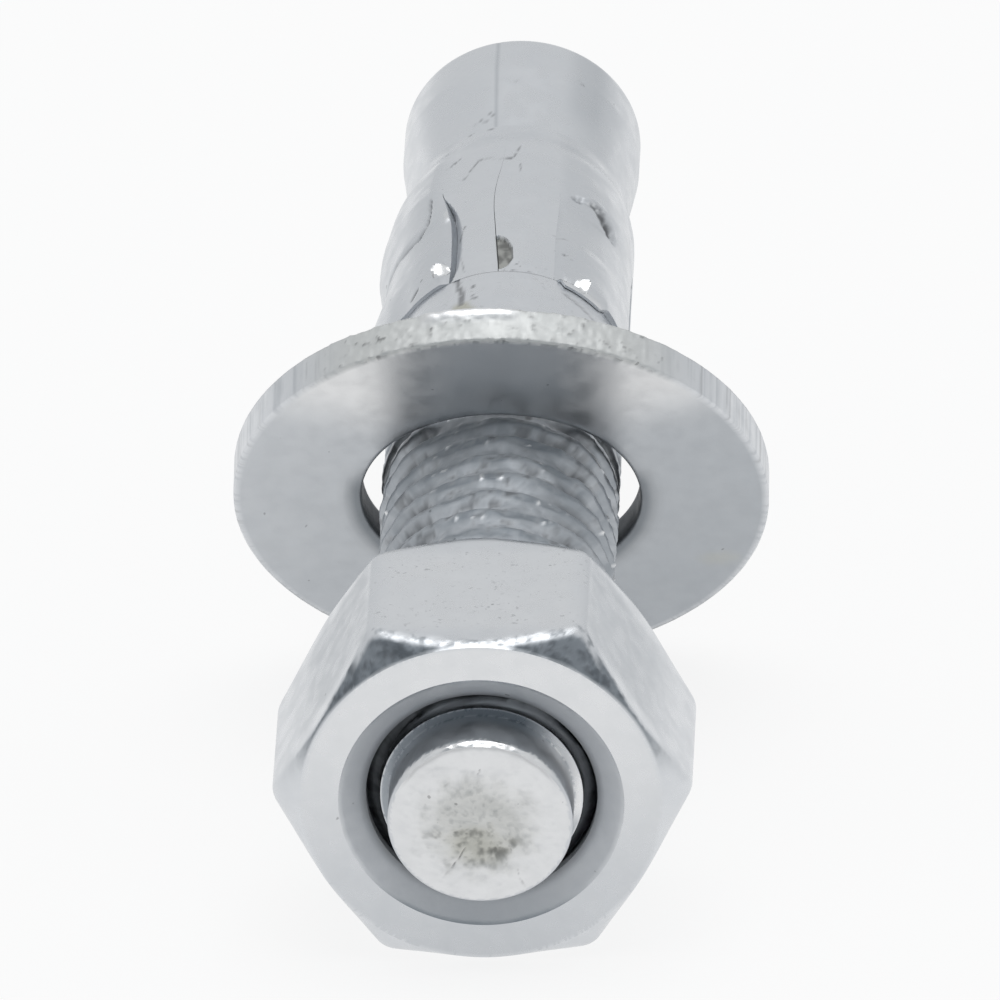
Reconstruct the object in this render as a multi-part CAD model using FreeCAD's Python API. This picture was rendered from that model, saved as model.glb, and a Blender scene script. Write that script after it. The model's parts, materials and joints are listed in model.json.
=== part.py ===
"""Wedge anchor for a 12 mm hole: stud with cone end, expansion clip, washer and hex nut.

The pieces are drawn about the stud's own axis, +Y from the nut's front face to the cone end.
They are then laid down together as the anchor comes to rest on a flat surface: on the front
edge of the nut's lower flat and on the rim of the washer, which leans until its hole jams
on the stud. The origin is on that surface, below the middle of the anchor.
"""
import FreeCAD, Part
import math
import os

from FreeCAD import Vector

# Stud, from its dog point to its cone end
thread_diameter = 11.8          # crest of the rolled M12 thread
thread_start_bevel = 0.95       # at 45 degrees
dog_step = 0.425                # from that bevel's small end in to the dog point
dog_length = 2.62
dog_bevel = 0.18
shank_length = 40.55            # thread start to the neck's shoulder
shoulder_bevel = 0.3
neck_diameter = 8.8
neck_bevel = 0.2                # where the shoulder runs down to the neck
neck_length = 6.2
cone_length = 14.1
cone_diameter = 11.9
land_length = 3.05
end_radius = 0.6

# Hex nut, screwed on until the thread's start is just inside its front face
nut_across_flats = 18.0
nut_height = 10.4
nut_face_inset = 0.3            # from the flats in to the circle where the corner bevel starts
nut_bevel_angle = 30.0
nut_clearance = 0.08            # bore over the thread's crest, radially
countersink_width = 1.0         # mouth over the bore, radially
countersink_angle = 120.0
thread_inset = 0.75             # thread start behind the nut's front face

# Washer, leaning until its hole jams on the stud
washer_diameter = 26.6
washer_hole_clearance = 1.0     # over the thread's crest, radially
washer_thickness = 1.9
washer_edge = 0.25
washer_hole_edge = 0.15
washer_play = 0.08              # left between its hole's edges and the thread when it leans
washer_distance = 20.05         # nut's rear face to the middle of the washer

# Expansion clip, wrapped round the neck with its leaf tips on the cone
clip_clearance = 0.1            # over the neck and the cone, radially
clip_thickness = 1.45
clip_length = 15.15
clip_end_gap = 0.15             # shoulder to the clip's rear edge
clip_tip_thickness = 0.2
clip_tip_taper = 1.4
clip_edge = 0.15
seam_width = 0.25
seam_angle = -9.0               # from straight up, positive towards +X
notch_width = 0.8               # at its widest, beside the slit
notch_length = 3.2              # from the clip's rear edge
notch_belly = 1.6               # from the clip's rear edge to its widest place

# Three tongues pressed out of the clip, cut free along both sides from its rear edge
tongue_count = 3
tongue_angle = 63.0
tongue_first_angle = 57.0       # middle of the first tongue, from straight up
tongue_slit = 0.3
tongue_slit_length = 8.85       # from the clip's rear edge
tongue_peak = 9.15              # from the clip's rear edge
tongue_ramp = 5.0               # from the peak forward to the clip's own surface
tongue_rise = 0.68              # at the peak
tongue_rear_rise = 0.1          # at the clip's rear edge
tongue_thickness = 1.2

thread_radius = thread_diameter / 2
neck_radius = neck_diameter / 2
cone_radius = cone_diameter / 2
nut_half = nut_across_flats / 2
nut_face_radius = nut_half - nut_face_inset
washer_radius = washer_diameter / 2
washer_hole_radius = thread_radius + washer_hole_clearance

# Places along the axis, from the nut's front face
thread_start = thread_inset
tip = thread_start - dog_length
shoulder = thread_start + shank_length
cone_start = shoulder + neck_length
land_start = cone_start + cone_length
end = land_start + land_length
washer_middle = nut_height + washer_distance
clip_rear = shoulder + clip_end_gap
clip_front = clip_rear + clip_length

AXIS = Vector(0, 1, 0)
ORIGIN = Vector(0, 0, 0)


def point(radius, along):
    return Vector(radius, along, 0)


def lines(points):
    """Straight edges through the points, in order."""
    return [Part.makeLine(a, b) for a, b in zip(points, points[1:])]


def revolve(edges, angle=360.0):
    """Solid of a closed section in the XY plane, turned about the stud's axis."""
    return Part.Face(Part.Wire(edges)).revolve(ORIGIN, AXIS, angle)


def round_corner(centre, radius, start_angle, end_angle):
    """Arc in the section plane, by the angles of its two ends from +X."""
    angles = (start_angle, (start_angle + end_angle) / 2, end_angle)
    ends = [centre + radius * Vector(math.cos(math.radians(a)), math.sin(math.radians(a)), 0)
            for a in angles]
    return Part.Arc(*ends).toShape()


def about_axis(shape, angle):
    """Copy turned about the stud's axis, from straight up towards +X."""
    return shape.rotated(ORIGIN, AXIS, angle - 90.0)


def cone_radius_at(along):
    """Radius of the neck or the cone at a place along the axis."""
    share = (along - cone_start) / cone_length
    return neck_radius + (cone_radius - neck_radius) * min(max(share, 0.0), 1.0)


def make_anchor_body():
    start_radius = thread_radius - thread_start_bevel
    dog_radius = start_radius - dog_step
    profile = lines([
        point(0, tip),
        point(dog_radius - dog_bevel, tip),
        point(dog_radius, tip + dog_bevel),
        point(dog_radius, thread_start),
        point(start_radius, thread_start),
        point(thread_radius, thread_start + thread_start_bevel),
        point(thread_radius, shoulder - shoulder_bevel),
        point(thread_radius - shoulder_bevel, shoulder),
        point(neck_radius + neck_bevel, shoulder),
        point(neck_radius, shoulder + neck_bevel),
        point(neck_radius, cone_start),
        point(cone_radius, land_start),
        point(cone_radius, end - end_radius),
    ])
    rim = round_corner(point(cone_radius - end_radius, end - end_radius), end_radius, 0, 90)
    back = lines([
        point(cone_radius - end_radius, end),
        point(0, end),
        point(0, tip),
    ])
    return revolve(profile + [rim] + back)


def make_hex_nut():
    corner = nut_half / math.cos(math.radians(30))
    corners = [Vector(corner * math.cos(math.radians(60 * k)), 0,
                      corner * math.sin(math.radians(60 * k))) for k in range(7)]
    prism = Part.Face(Part.makePolygon(corners)).extrude(Vector(0, nut_height, 0))
    reach = 2 * corner - nut_face_radius
    bevel = (reach - nut_face_radius) * math.tan(math.radians(nut_bevel_angle))
    envelope = revolve(lines([
        point(0, 0),
        point(nut_face_radius, 0),
        point(reach, bevel),
        point(reach, nut_height - bevel),
        point(nut_face_radius, nut_height),
        point(0, nut_height),
        point(0, 0),
    ]))
    bore_radius = thread_radius + nut_clearance
    mouth_radius = bore_radius + countersink_width
    sink = countersink_width / math.tan(math.radians(countersink_angle / 2))
    bore = revolve(lines([
        point(0, 0),
        point(mouth_radius, 0),
        point(bore_radius, sink),
        point(bore_radius, nut_height - sink),
        point(mouth_radius, nut_height),
        point(0, nut_height),
        point(0, 0),
    ]))
    return prism.common(envelope).cut(bore)


def washer_lean():
    """Angle in degrees at which the washer's hole, less its play, jams on the thread."""
    half = washer_thickness / 2
    reach = math.hypot(washer_hole_radius, half)
    jam = math.acos((thread_radius + washer_play) / reach) - math.atan2(half, washer_hole_radius)
    return math.degrees(jam)


def make_washer():
    """Flat ring with broken edges, its top leaning towards the nut."""
    half = washer_thickness / 2
    ring = revolve(lines([
        point(washer_hole_radius + washer_hole_edge, -half),
        point(washer_radius - washer_edge, -half),
        point(washer_radius, -half + washer_edge),
        point(washer_radius, half - washer_edge),
        point(washer_radius - washer_edge, half),
        point(washer_hole_radius + washer_hole_edge, half),
        point(washer_hole_radius, half - washer_hole_edge),
        point(washer_hole_radius, -half + washer_hole_edge),
        point(washer_hole_radius + washer_hole_edge, -half),
    ]))
    ring.rotate(ORIGIN, Vector(1, 0, 0), washer_lean())
    ring.translate(Vector(0, washer_middle, 0))
    return ring


def make_sleeve():
    """The clip as a plain sleeve, thinned at its front to tips that lie on the cone."""
    outer = neck_radius + clip_clearance + clip_thickness
    inner_rear = cone_radius_at(clip_rear) + clip_clearance
    inner_front = cone_radius_at(clip_front) + clip_clearance
    return revolve(lines([
        point(inner_rear, clip_rear),
        point(outer - clip_edge, clip_rear),
        point(outer, clip_rear + clip_edge),
        point(outer, clip_front - clip_tip_taper),
        point(inner_front + clip_tip_thickness, clip_front),
        point(inner_front, clip_front),
        point(cone_radius_at(cone_start) + clip_clearance, cone_start),
        point(inner_rear, clip_rear),
    ]))


def sector(radius, start, stop, middle_angle, width_angle):
    """Wedge about the axis between two places along it, for cutting or keeping an angle."""
    section = lines([
        point(0, start),
        point(radius, start),
        point(radius, stop),
        point(0, stop),
        point(0, start),
    ])
    return about_axis(revolve(section, width_angle), middle_angle - width_angle / 2)


def make_tongue(middle_angle):
    """Strip that swells out of the clip's surface and ends free at the clip's rear edge."""
    surface = neck_radius + clip_clearance + clip_thickness
    peak = clip_rear + tongue_peak
    foot = peak + tongue_ramp
    crown = Part.BSplineCurve()
    crown.interpolate([
        point(surface + tongue_rear_rise, clip_rear),
        point(surface + tongue_rise, peak),
        point(surface, foot),
    ])
    under_foot = cone_radius_at(foot) + clip_clearance
    under_peak = surface + tongue_rise - tongue_thickness
    under_rear = surface + tongue_rear_rise - tongue_thickness
    rest = lines([
        point(surface, foot),
        point(under_foot, foot),
        point(under_peak, peak),
        point(under_rear, clip_rear),
        point(surface + tongue_rear_rise, clip_rear),
    ])
    strip = revolve([crown.toShape()] + rest, tongue_angle)
    return about_axis(strip, middle_angle - tongue_angle / 2)


def make_seam(reach):
    """Slit where the rolled strip's two ends meet, with a notch beside it at the rear."""
    slit = Part.makeBox(reach, clip_length * 2, seam_width,
                        Vector(0, clip_rear - clip_length / 2, -seam_width / 2))
    notch = Part.Face(Part.makePolygon([
        Vector(0, clip_rear, 0),
        Vector(0, clip_rear + notch_length, 0),
        Vector(0, clip_rear + notch_belly, -notch_width),
        Vector(0, clip_rear, 0),
    ])).extrude(Vector(reach, 0, 0))
    return about_axis(slit.fuse(notch), seam_angle)


def make_expansion_clip():
    """Sleeve with its tongues in their windows and its seam cut through."""
    well_outside = 2 * (neck_radius + clip_thickness)
    clip = make_sleeve()
    step = 360.0 / tongue_count
    middles = [tongue_first_angle + step * k for k in range(tongue_count)]
    slit_angle = math.degrees(tongue_slit / (neck_radius + clip_thickness))
    slit_end = clip_rear + tongue_slit_length
    for middle in middles:
        window = sector(well_outside, clip_rear - clip_length, slit_end, middle,
                        tongue_angle + 2 * slit_angle)
        clip = clip.cut(window)
    for middle in middles:
        clip = clip.fuse(make_tongue(middle))
    clip = clip.cut(make_seam(well_outside))
    return clip.removeSplitter()


def lower_washer_corners():
    """The two corners of the leaning washer's section that can touch down first."""
    lean = math.radians(washer_lean())
    across = Vector(0, math.sin(lean), -math.cos(lean))
    rear = Vector(0, math.cos(lean), math.sin(lean))
    half = washer_thickness / 2
    middle = Vector(0, washer_middle, 0)
    return [
        middle + across * washer_radius - rear * (half - washer_edge),
        middle + across * (washer_radius - washer_edge) - rear * half,
    ]


def resting_pitch():
    """Degrees by which the cone end is up when the nut's front edge and the washer touch down."""
    edge_along = nut_face_inset * math.tan(math.radians(nut_bevel_angle))
    nut_edge = Vector(0, edge_along, -nut_half)
    rises = [math.atan2(nut_edge.z - corner.z, corner.y - nut_edge.y)
             for corner in lower_washer_corners()]
    return math.degrees(max(rises)), nut_edge


def lay_down(shapes):
    """Move all pieces, as one, from the stud's own frame to the resting one."""
    pitch, nut_edge = resting_pitch()
    for shape in shapes.values():
        shape.rotate(ORIGIN, Vector(1, 0, 0), pitch)
    touch = FreeCAD.Rotation(Vector(1, 0, 0), pitch).multVec(nut_edge)
    box = Part.makeCompound(list(shapes.values())).optimalBoundingBox(False, False)
    shift = Vector(0, -(box.YMin + box.YMax) / 2, -touch.z)
    for shape in shapes.values():
        shape.translate(shift)
    return pitch, shift


shapes = {
    "anchor_body": make_anchor_body(),
    "hex_nut": make_hex_nut(),
    "washer": make_washer(),
    "expansion_clip": make_expansion_clip(),
}
pitch, shift = lay_down(shapes)

os.makedirs("parts", exist_ok=True)
for name, shape in shapes.items():
    shape.exportStep(f"parts/{name}.step")
    print(name, "solids", len(shape.Solids), "valid", shape.isValid(),
          "volume", round(shape.Volume, 3))
print("pitch", round(pitch, 4), "degrees, lean", round(washer_lean(), 4), "degrees")
print("nut's front face centre at", [round(v, 4) for v in shift])
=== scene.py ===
"""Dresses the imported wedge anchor: rolled thread, pressed clip, sheared washer and zinc plating.

Lengths are in metres, or in mm where that is said. Places on the anchor are given about the stud's
own axis: along it from the nut's front face towards the cone end, and by the angle from straight
up towards +X.
"""

import json
from math import ceil, cos, pi, radians, sin, tan

import bmesh
import bpy
import numpy as np
from bpy.props import FloatProperty, FloatVectorProperty, PointerProperty
from mathutils import Matrix, Vector


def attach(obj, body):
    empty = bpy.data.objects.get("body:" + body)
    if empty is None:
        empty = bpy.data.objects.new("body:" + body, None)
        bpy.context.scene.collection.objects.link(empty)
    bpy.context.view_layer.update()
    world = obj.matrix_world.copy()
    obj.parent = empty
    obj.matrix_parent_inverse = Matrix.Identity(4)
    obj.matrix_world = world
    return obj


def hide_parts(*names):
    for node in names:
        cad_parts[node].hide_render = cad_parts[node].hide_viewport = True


bl_info = {
    "name": "Wedge Anchor",
    "version": (1, 0, 0),
    "blender": (4, 5, 0),
    "location": "View3D > Sidebar > Anchor",
    "description": "Threads, presses and plates the pieces of a wedge anchor",
    "category": "Object",
}

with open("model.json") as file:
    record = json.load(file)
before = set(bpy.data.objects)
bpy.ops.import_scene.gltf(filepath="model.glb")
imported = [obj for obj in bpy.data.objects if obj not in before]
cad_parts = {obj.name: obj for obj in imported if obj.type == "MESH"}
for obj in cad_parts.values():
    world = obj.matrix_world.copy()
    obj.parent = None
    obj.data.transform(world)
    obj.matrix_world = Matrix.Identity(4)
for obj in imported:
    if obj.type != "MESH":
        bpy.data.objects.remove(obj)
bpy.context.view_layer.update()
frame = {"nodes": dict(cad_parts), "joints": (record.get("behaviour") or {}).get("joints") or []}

MM = 0.001
TURN = 2 * pi
STUD_COLUMNS = 218
NUT_COLUMNS = 540
WASHER_COLUMNS = 780
ROUND_REACH = 6.0       # mm round the surface for one radian
WELD = 0.0005 * MM      # points nearer than this are joined
SLIVER = 0.0002 * MM    # edges shorter than this are dissolved

JOINTS = {joint["name"]: joint for joint in frame["joints"]}
ACROSS = Vector((1, 0, 0))
AXIS = Vector(JOINTS["nut_turn"]["axis"]).normalized()
UP = ACROSS.cross(AXIS)


def span(node):
    """Lowest and highest place of a CAD node along the stud's axis, from the frame's origin."""
    reach = [vertex.co.dot(AXIS) for vertex in frame["nodes"][node].data.vertices]
    return min(reach), max(reach)


NUT_MIDDLE = Vector(JOINTS["nut_turn"]["pos_m"])
NUT_FRONT, NUT_REAR = span("hex_nut")
FACE = NUT_MIDDLE + AXIS * (NUT_FRONT - NUT_MIDDLE.dot(AXIS))

# Places along the axis from the nut's front face
TIP, STUD_END = (place - NUT_FRONT for place in span("anchor_body"))
CLIP_REAR, CLIP_FRONT = (place - NUT_FRONT for place in span("expansion_clip"))
WASHER_MIDDLE = sum(span("washer")) / 2 - NUT_FRONT


def length(name, description, mm):
    return FloatProperty(name=name, description=description, default=mm * MM, unit="LENGTH",
                         subtype="DISTANCE", precision=5)


def swing(name, description, degrees):
    return FloatProperty(name=name, description=description, default=radians(degrees),
                         subtype="ANGLE")


def portion(name, description, default):
    return FloatProperty(name=name, description=description, default=default, min=0.0, max=1.0)


def colour(name, description, default):
    return FloatVectorProperty(name=name, description=description, default=default,
                               subtype="COLOR", size=3, min=0.0, max=1.0)


class StudSizes(bpy.types.PropertyGroup):
    """Sizes of the turned and rolled stud"""
    crest_diameter: length("Thread crest", "Diameter over the thread's crests", 11.8)
    root_diameter: length("Thread root", "Diameter at the thread's root", 9.9)
    pitch: length("Pitch", "Advance of the thread in one turn", 1.75)
    thread_length: length("Thread length", "From the start bevel to the thread's end", 33.5)
    run_out: length("Run-out", "Length over which the thread fades into the shank", 2.4)
    thread_start: length("Thread start", "Place of the thread's start", 0.75)
    start_gap: length("Start gap", "From the thread's start to its start bevel", 0.25)
    dog_diameter: length("Dog point", "Diameter of the dog point", 9.05)
    dog_bevel: length("Dog point bevel", "Bevel round the tip", 0.14)
    burr: length("Burr", "Length of the burred edge over the top of the tip", 0.3)
    shoulder: length("Shoulder", "Place of the shoulder that stops the clip", 41.3)
    shoulder_bevel: length("Shoulder bevel", "Bevel of that shoulder", 0.01)
    neck_diameter: length("Neck", "Diameter of the neck under the clip", 8.8)
    neck_bevel: length("Neck bevel", "Where the shoulder runs down to the neck", 0.2)
    cone_start: length("Cone start", "Place where the neck opens into the cone", 47.5)
    cone_diameter: length("Cone", "Diameter of the cone's land", 11.9)
    land_start: length("Land start", "Place where the cone meets its land", 61.6)
    end_radius: length("End radius", "Rounding of the cone end's rim", 0.6)


class NutSizes(bpy.types.PropertyGroup):
    """Sizes of the hex nut"""
    across_flats: length("Across flats", "Width over two opposite flats", 18.0)
    face_inset: length("Face inset", "From the flats in to the round face", 0.17)
    corner_round: length("Corner rounding", "Radius of the six upright edges", 0.9)
    edge_round: length("Edge rounding", "Radius between the corner bevel and a flat", 1.7)
    bore_diameter: length("Bore", "Diameter of the bore over the thread", 11.96)
    mouth_width: length("Countersink", "Mouth over the bore, radially", 1.0)
    lip_diameter: length("First turn", "Inner diameter of the nut's first turn", 11.3)


class WasherSizes(bpy.types.PropertyGroup):
    """Sizes of the loose washer"""
    diameter: length("Diameter", "Outer diameter", 26.6)
    hole_diameter: length("Hole", "Diameter of the hole", 13.8)
    thickness: length("Thickness", "Thickness of the sheet", 1.9)
    edge: length("Edge", "Rounding of the sheared rim", 0.09)
    hole_edge: length("Hole edge", "Rounding of the hole", 0.32)
    lean: swing("Lean", "Angle at which the washer jams on the thread", 23.0046)


class ClipSizes(bpy.types.PropertyGroup):
    """Sizes of the pressed expansion clip"""
    clearance: length("Clearance", "Clip over the neck and the cone, but for its front edge", 0.1)
    thickness: length("Thickness", "Thickness of the sheet on the neck", 1.45)
    tip_thickness: length("Tip thickness", "Thickness left at the front", 0.02)
    tip_taper: length("Tip taper", "Length over which the front thins", 3.4)
    edge: length("Edge", "Bevel of the rear edge", 0.01)
    seam: length("Seam", "Width of the slit between the strip's two ends", 0.035)
    slit: length("Slits", "Width of the narrow slits beside the tongues", 0.05)
    slit_length: length("Slit length", "Slits beside the tongues, from the rear edge", 8.85)
    tongue_thickness: length("Tongue thickness", "Thickness of a tongue", 1.2)


class PlatingColours(bpy.types.PropertyGroup):
    """Colours of the plated steel"""
    zinc: colour("Zinc", "Bright zinc plating", (0.68, 0.70, 0.725))
    # Also painted on as highlights and lit sides, besides metal that is really burnished.
    pale: colour("Pale zinc", "Plating where it is bleached or burnished", (0.82, 0.825, 0.83))
    # Also painted on as shade on sides, lower parts and hollows, besides really thin plating.
    slate: colour("Slate", "Thin or darkened plating", (0.25, 0.28, 0.31))
    # Also painted into grooves, bores and crevices as shade, besides real pits, cracks and scale.
    soot: colour("Soot", "Pits, crevices and rough scale", (0.03, 0.031, 0.034))
    grime: colour("Grime", "Olive grime on the tip and beside the clip", (0.52, 0.51, 0.42))


class StageSettings(bpy.types.PropertyGroup):
    """Floor, lamps and camera"""
    floor_colour: colour("Floor", "Colour of the floor", (0.93, 0.93, 0.93))
    floor_glow: portion("Floor glow", "Share of plain white in the floor", 0.85)
    floor_gleam: portion("Floor gleam", "The same where metal shows the floor", 0.81)
    sky_strength: FloatProperty(name="Sky", description="Strength of the light from all round",
                                default=0.85, min=0.0)
    walls: colour("Walls", "Colour of the room round the anchor", (0.73, 0.74, 0.75))
    dark_side: colour("Dark side", "Colour of the room behind the camera", (0.27, 0.30, 0.325))
    dark_inner: swing("Dark inside", "Half-width of the dark side's middle", 27)
    dark_outer: swing("Dark outside", "Half-width of all of the dark side", 58)
    lamp_power: FloatProperty(name="Lamp", description="Power of the overhead lamp",
                              default=2.8, min=0.0, unit="POWER")
    lamp_size: length("Lamp size", "Diameter of the overhead lamp", 780)
    camera_distance: length("Distance", "From the camera to its aim", 1500)
    lens: FloatProperty(name="Lens", description="Focal length on a 36 mm sensor",
                        default=1095.6, unit="CAMERA")


# Repeatable unevenness

HASH_FACTORS = (73856093, 19349663, 83492791)
HASH_SEED = 26544357
HASH_ROUNDS = ((13, 1274126177), (15, 668265263))
THREE_LAYERS = 1.75     # weight of three layers, each half of the one before


def lattice(cells, seed):
    """Repeatable numbers from -1 to 1, one for each whole-number place."""
    x, y, z = (cells[..., k].astype(np.int64) * factor for k, factor in enumerate(HASH_FACTORS))
    mixed = x ^ y ^ z ^ (seed * HASH_SEED)
    for shift, factor in HASH_ROUNDS:
        mixed = (mixed ^ (mixed >> shift)) * factor
    return ((mixed >> 8) & 0xFFFF) / 32767.5 - 1.0


def wander(points, size, seed):
    """Smooth unevenness from -1 to 1 with bumps of about the given size."""
    scaled = points / size
    base = np.floor(scaled)
    part = scaled - base
    part = part * part * (3 - 2 * part)
    total = 0.0
    for corner in np.ndindex(2, 2, 2):
        weight = np.prod(np.where(corner, part, 1 - part), axis=-1)
        total = total + weight * lattice(base + corner, seed)
    return total


def rough(points, size, seed, layers=3):
    """Unevenness with finer and finer layers."""
    layered = sum(wander(points, size / 2 ** k, seed + k) / 2 ** k for k in range(layers))
    return layered / THREE_LAYERS


def ease(value, low, high):
    """Smooth step from 0 at low to 1 at high."""
    share = np.clip((value - low) / (high - low), 0, 1)
    return share * share * (3 - 2 * share)


def fade(value, low, high):
    """Smooth step from 1 at low to 0 at high."""
    return 1 - ease(value, low, high)


def largest(*values):
    """The largest value at each point."""
    return np.maximum.reduce(values)


def tapered(value, knots, blur):
    """Height through the knots (place, height), in mm, with their corners rounded over the blur."""
    return np.mean([np.interp(value + shift, *zip(*knots))
                    for shift in np.linspace(-blur, blur, 7)], axis=0)


def from_line(u, v, *corners):
    """Distance of the points (u, v) from a bent line through the corners."""
    best = np.full(u.shape, np.inf)
    for (u0, v0), (u1, v1) in zip(corners, corners[1:]):
        du, dv = u1 - u0, v1 - v0
        share = np.clip(((u - u0) * du + (v - v0) * dv) / (du * du + dv * dv), 0, 1)
        best = np.minimum(best, np.hypot(u - u0 - share * du, v - v0 - share * dv))
    return best


def from_spot(u, v, u0, v0, wide, high):
    """Distance from a spot, as a share of its half-width and half-height."""
    return np.hypot((u - u0) / wide, (v - v0) / high)


def wrapped(angle):
    """Angle from straight up, from minus half a turn to half a turn."""
    return (angle + pi) % TURN - pi


def near_top(angle, low, high):
    """1 up to low degrees from straight up, and 0 from high degrees on."""
    return fade(np.abs(wrapped(angle)), radians(low), radians(high))


def unrolled(along, angle):
    """Places over the round surface, in mm: along the axis, and round it from straight up."""
    return along / MM, wrapped(angle) * ROUND_REACH


def at(along, degrees):
    """The unrolled place at a distance along the axis, in mm, and an angle from straight up."""
    return along, radians(degrees) * ROUND_REACH


def across(v, *degrees):
    """1 between two angles of the unrolled surface; the four say where it rises and falls."""
    rise, full, last, end = (at(0, angle)[1] for angle in degrees)
    return ease(v, rise, full) * fade(v, last, end)


def line_at(u, v, *places):
    """Distance from a bent line over the unrolled surface, through places that at() takes."""
    return from_line(u, v, *(at(*place) for place in places))


def from_lines(distance, u, v, lines):
    """Least distance from several lines, each given as (how much fainter, place, place...)."""
    return np.minimum.reduce([distance(u, v, *places) + fainter for fainter, *places in lines])


# Meshes

def outline(*corners):
    """Radii and places of a section's points; each corner gives how many steps follow it."""
    radii, places = [], []
    for (radius, along, steps), following in zip(corners, corners[1:]):
        radii.append(np.linspace(radius, following[0], steps, endpoint=False))
        places.append(np.linspace(along, following[1], steps, endpoint=False))
    radii.append([corners[-1][0]])
    places.append([corners[-1][1]])
    return np.concatenate(radii), np.concatenate(places)


def turn(radius, along, angle):
    """Points across, along and above the stud's axis."""
    return np.stack([radius * np.sin(angle), along + 0 * angle, radius * np.cos(angle)], -1)


def lathe(section, columns=STUD_COLUMNS):
    """Radii, places and angles of a section turned once about the axis."""
    radii, places = section
    return np.broadcast_arrays(radii[:, None], places[:, None],
                               np.linspace(0, TURN, columns + 1)[None, :])


def patch(rows, columns, start=0):
    """Quads of a grid of rows and columns of points."""
    index = start + np.arange(rows * columns).reshape(rows, columns)
    corners = index[:-1, :-1], index[:-1, 1:], index[1:, 1:], index[1:, :-1]
    return np.stack(corners, -1).reshape(-1, 4)


def added(name, data):
    """A new object in the scene."""
    thing = bpy.data.objects.new(name, data)
    bpy.context.scene.collection.objects.link(thing)
    return thing


def skin(name, grids, marks, sharp=50.0):
    """One mesh of several grids of points, welded, with named marks that its material reads."""
    points = np.concatenate([grid.reshape(-1, 3) for grid in grids])
    starts = np.cumsum([0] + [grid.shape[0] * grid.shape[1] for grid in grids])
    quads = np.concatenate([patch(*grid.shape[:2], start) for grid, start in zip(grids, starts)])
    return welded(name, points, quads, marks, sharp)


def welded(name, points, quads, marks, sharp):
    """Mesh object of points about the stud's axis, with doubled points joined."""
    in_frame = points @ np.array([ACROSS, AXIS, UP]) + np.array(FACE)
    mesh = bpy.data.meshes.new(name)
    mesh.from_pydata(in_frame.tolist(), [], quads.tolist())
    for mark, values in marks.items():
        layer = mesh.attributes.new(mark, "FLOAT", "POINT")
        layer.data.foreach_set("value", np.asarray(values, np.float32).ravel())
    build = bmesh.new()
    build.from_mesh(mesh)
    bmesh.ops.remove_doubles(build, verts=build.verts, dist=WELD)
    bmesh.ops.dissolve_degenerate(build, edges=build.edges, dist=SLIVER)
    bmesh.ops.recalc_face_normals(build, faces=build.faces)
    build.to_mesh(mesh)
    build.free()
    mesh.polygons.foreach_set("use_smooth", [True] * len(mesh.polygons))
    mesh.set_sharp_from_angle(angle=radians(sharp))
    return added(name, mesh)


def fit_out(piece, node, material):
    """The piece takes the place and the body of its CAD node, gets its material, and hides the CAD
    node.
    """
    piece.data.materials.append(material)
    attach(piece, node)
    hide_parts(node)


# Plating

class Nodes:
    """Short hand for building the nodes of a material or a world."""

    def __init__(self, owner):
        owner.use_nodes = True
        self.tree = owner.node_tree

    def link(self, source, target):
        """Links a socket to the target, or sets the target to a number, a colour or a vector."""
        if isinstance(source, bpy.types.NodeSocket):
            self.tree.links.new(source, target)
        elif isinstance(source, (int, float)):
            target.default_value = source
        else:
            target.default_value = (*source, 1.0)[:len(target.default_value)]

    def set(self, node, **inputs):
        """Links or sets inputs of a node that is there: base_color stands for Base Color."""
        for name, source in inputs.items():
            self.link(source, node.inputs[name.replace("_", " ").title()])

    def add(self, kind, inputs, output=0, **settings):
        """The output of a new node with these inputs and settings."""
        node = self.tree.nodes.new("ShaderNode" + kind)
        for name, value in settings.items():
            setattr(node, name, value)
        for name, source in inputs.items():
            self.link(source, node.inputs[name])
        return node.outputs[output]

    def maths(self, operation, first, second):
        return self.add("Math", {0: first, 1: second}, operation=operation)

    def times(self, first, second):
        return self.maths("MULTIPLY", first, second)

    def most(self, first, *others):
        for other in others:
            first = self.maths("MAXIMUM", first, other)
        return first

    def noise(self, size, detail=3.0, roughness=0.55):
        """Unevenness about 0.5, with features of the given size in metres."""
        place = self.add("TexCoord", {}, "Object")
        return self.add("TexNoise", {"Vector": place, "Scale": 1 / size, "Detail": detail,
                                     "Roughness": roughness}, "Fac")

    def between(self, value, low, high, start=0.0, stop=1.0):
        """The value spread smoothly from start at low to stop at high."""
        return self.add("MapRange", dict(enumerate((value, low, high, start, stop))),
                        interpolation_type="SMOOTHSTEP")

    def mark(self, name):
        return self.add("Attribute", {}, "Fac", attribute_name=name)

    def mix(self, share, first, second):
        return self.add("Mix", {0: share, 6: first, 7: second}, 2, data_type="RGBA")

    def bump(self, height, distance, strength, **under):
        """A normal raised by the height; under may hold the Normal that it starts from."""
        return self.add("Bump", {"Strength": strength, "Distance": distance, "Height": height,
                                 **under})

    def ray(self, kind):
        return self.add("LightPath", {}, f"Is {kind} Ray")

    def seen_directly(self):
        """1 for a ray from the camera, from a gloss or through glass, and 0 for soft light."""
        return self.most(*(self.ray(kind) for kind in ("Camera", "Glossy", "Transmission")))


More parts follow.
